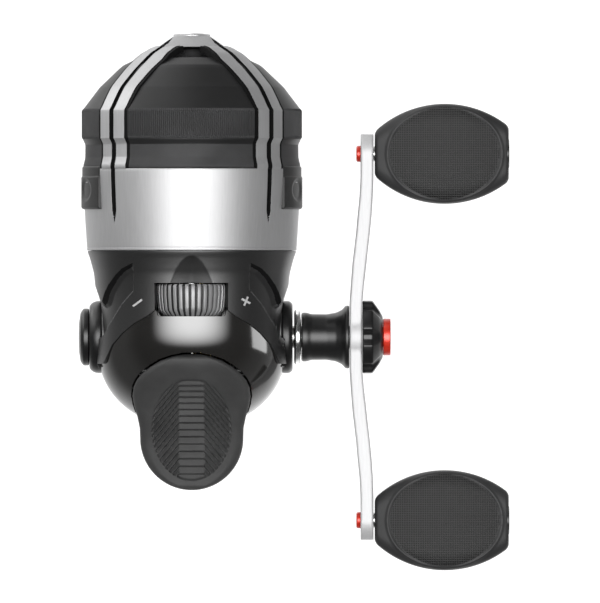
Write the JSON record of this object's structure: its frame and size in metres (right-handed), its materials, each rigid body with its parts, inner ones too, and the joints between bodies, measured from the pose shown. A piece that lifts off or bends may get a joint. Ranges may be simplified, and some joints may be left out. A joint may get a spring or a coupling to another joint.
{
  "type": "spincast fishing reel",
  "caption": "Closed-face spincast fishing reel with ribbed front cover, thumb button, side drag wheel and a double-paddle crank.",
  "frame": {"origin": "middle of the reel foot's underside", "axes": "+Y forwards, the way the line leaves the nose; +X to the crank side; +Z away from the rod, so the foot seats along -Z"},
  "size_m": [0.1162, 0.145, 0.0688],
  "materials": {
    "matt_black": "satin",
    "gloss_black": "gloss",
    "knob_black": "matt",
    "pad_rubber": "matt",
    "bright_band": "brushed",
    "foot_metal": "satin",
    "steel": "satin",
    "chrome": "polished",
    "arm_metal": "satin",
    "die_cast": "as cast",
    "brass": "machined",
    "red": "anodised",
    "felt": "matt",
    "light_plastic": "satin",
    "line": "gloss"
  },
  "bodies": {
    "reel_body": {"gear_case": "matt_black", "rear_shell": "gloss_black", "bearing_flanges": "matt_black", "left_cap": "matt_black", "deck_plate": "die_cast", "foot": "foot_metal", "foot_screws": "steel", "case_screws": "steel", "crank_bearings": "brass", "pinion_bearings": "steel", "one_way_clutch": "steel", "drag_washers": "felt", "spool_clip": "steel", "pickup_cam": "light_plastic", "thumb_pivot_pin": "steel", "thumb_spring": "steel"},
    "front_cover": {"cover_frame": "bright_band", "cover_cone": "matt_black", "grip_pads": "pad_rubber", "line_guide": "chrome"},
    "spool_assembly": {"spool": "die_cast", "spool_line": "line"},
    "drag_wheel_assembly": {"drag_wheel": "steel", "drag_pinion": "steel"},
    "drag_ring": {"drag_ring_gear": "light_plastic"},
    "pinion": {"pinion_gear": "brass", "shaft_spring": "steel"},
    "shaft_carrier": {"thrust_cap": "light_plastic"},
    "spinner": {"center_shaft": "steel", "shaft_clip": "steel", "spinner_head": "die_cast", "spinner_nut": "steel", "pin_springs": "steel"},
    "pickup_right": {"pickup_pin_right": "chrome"},
    "pickup_left": {"pickup_pin_left": "chrome"},
    "crank": {"crank_shaft": "steel", "drive_gear": "brass", "gear_screws": "steel", "crank_shims": "steel", "wave_washer": "chrome", "crank_sleeve": "matt_black", "crank_arm": "arm_metal", "crank_nut": "matt_black", "crank_bolt": "red", "knob_posts": "steel", "knob_screws": "red"},
    "knob_front_body": {"knob_front": "knob_black", "knob_front_cap": "matt_black"},
    "knob_rear_body": {"knob_rear": "knob_black", "knob_rear_cap": "matt_black"},
    "thumb_button": {"thumb_lever": "matt_black", "thumb_pad": "pad_rubber"}
  },
  "joints": [
    {"name": "cover_pull", "type": "slide", "parent": "reel_body", "child": "front_cover", "axis": [0, 1, 0], "range_m": [0, 0.045]},
    {"name": "crank_turn", "type": "hinge", "parent": "reel_body", "child": "crank", "pos_m": [0, -0.012, 0.034], "axis": [1, 0, 0], "continuous": true},
    {"name": "pinion_spin", "type": "hinge", "parent": "reel_body", "child": "pinion", "pos_m": [0, 0.002, 0.039], "axis": [0, 1, 0], "continuous": true},
    {"name": "shaft_slide", "type": "slide", "parent": "reel_body", "child": "shaft_carrier", "axis": [0, 1, 0], "range_m": [0, 0.00366], "deforming": ["shaft_spring"]},
    {"name": "spinner_spin", "type": "hinge", "parent": "shaft_carrier", "child": "spinner", "pos_m": [0, 0.002, 0.039], "axis": [0, 1, 0], "continuous": true},
    {"name": "pin_right_slide", "type": "slide", "parent": "spinner", "child": "pickup_right", "axis": [1, 0, 0], "range_m": [-0.0025, 0]},
    {"name": "pin_left_slide", "type": "slide", "parent": "spinner", "child": "pickup_left", "axis": [-1, 0, 0], "range_m": [-0.0025, 0]},
    {"name": "spool_slip", "type": "hinge", "parent": "reel_body", "child": "spool_assembly", "pos_m": [0, 0.026, 0.039], "axis": [0, 1, 0], "continuous": true},
    {"name": "drag_wheel_turn", "type": "hinge", "parent": "reel_body", "child": "drag_wheel_assembly", "pos_m": [0, -0.002, 0.0566], "axis": [0, 1, 0], "range_deg": [-540, 540]},
    {"name": "drag_ring_turn", "type": "hinge", "parent": "reel_body", "child": "drag_ring", "pos_m": [0, 0.014, 0.039], "axis": [0, 1, 0], "range_deg": [-180, 180]},
    {"name": "thumb_press", "type": "hinge", "parent": "reel_body", "child": "thumb_button", "pos_m": [0, -0.021, 0.054], "axis": [1, 0, 0], "range_deg": [0, 15], "stiffness_Nm_per_rad": 0.6, "springref_deg": -8.59},
    {"name": "knob_front_spin", "type": "hinge", "parent": "crank", "child": "knob_front_body", "pos_m": [0.068, 0.0375, 0.034], "axis": [1, 0, 0], "continuous": true},
    {"name": "knob_rear_spin", "type": "hinge", "parent": "crank", "child": "knob_rear_body", "pos_m": [0.068, -0.0615, 0.034], "axis": [1, 0, 0], "continuous": true}
  ],
  "couplings": [
    {"joint": "pinion_spin", "follows": "crank_turn", "ratio": -5.1111},
    {"joint": "spinner_spin", "follows": "crank_turn", "ratio": -5.1111},
    {"joint": "thumb_press", "follows": "shaft_slide", "rad_per_m": 71.429},
    {"joint": "pin_right_slide", "follows": "shaft_slide", "ratio": -0.68},
    {"joint": "pin_left_slide", "follows": "shaft_slide", "ratio": -0.68},
    {"joint": "drag_ring_turn", "follows": "drag_wheel_turn", "ratio": -0.33333}
  ]
}
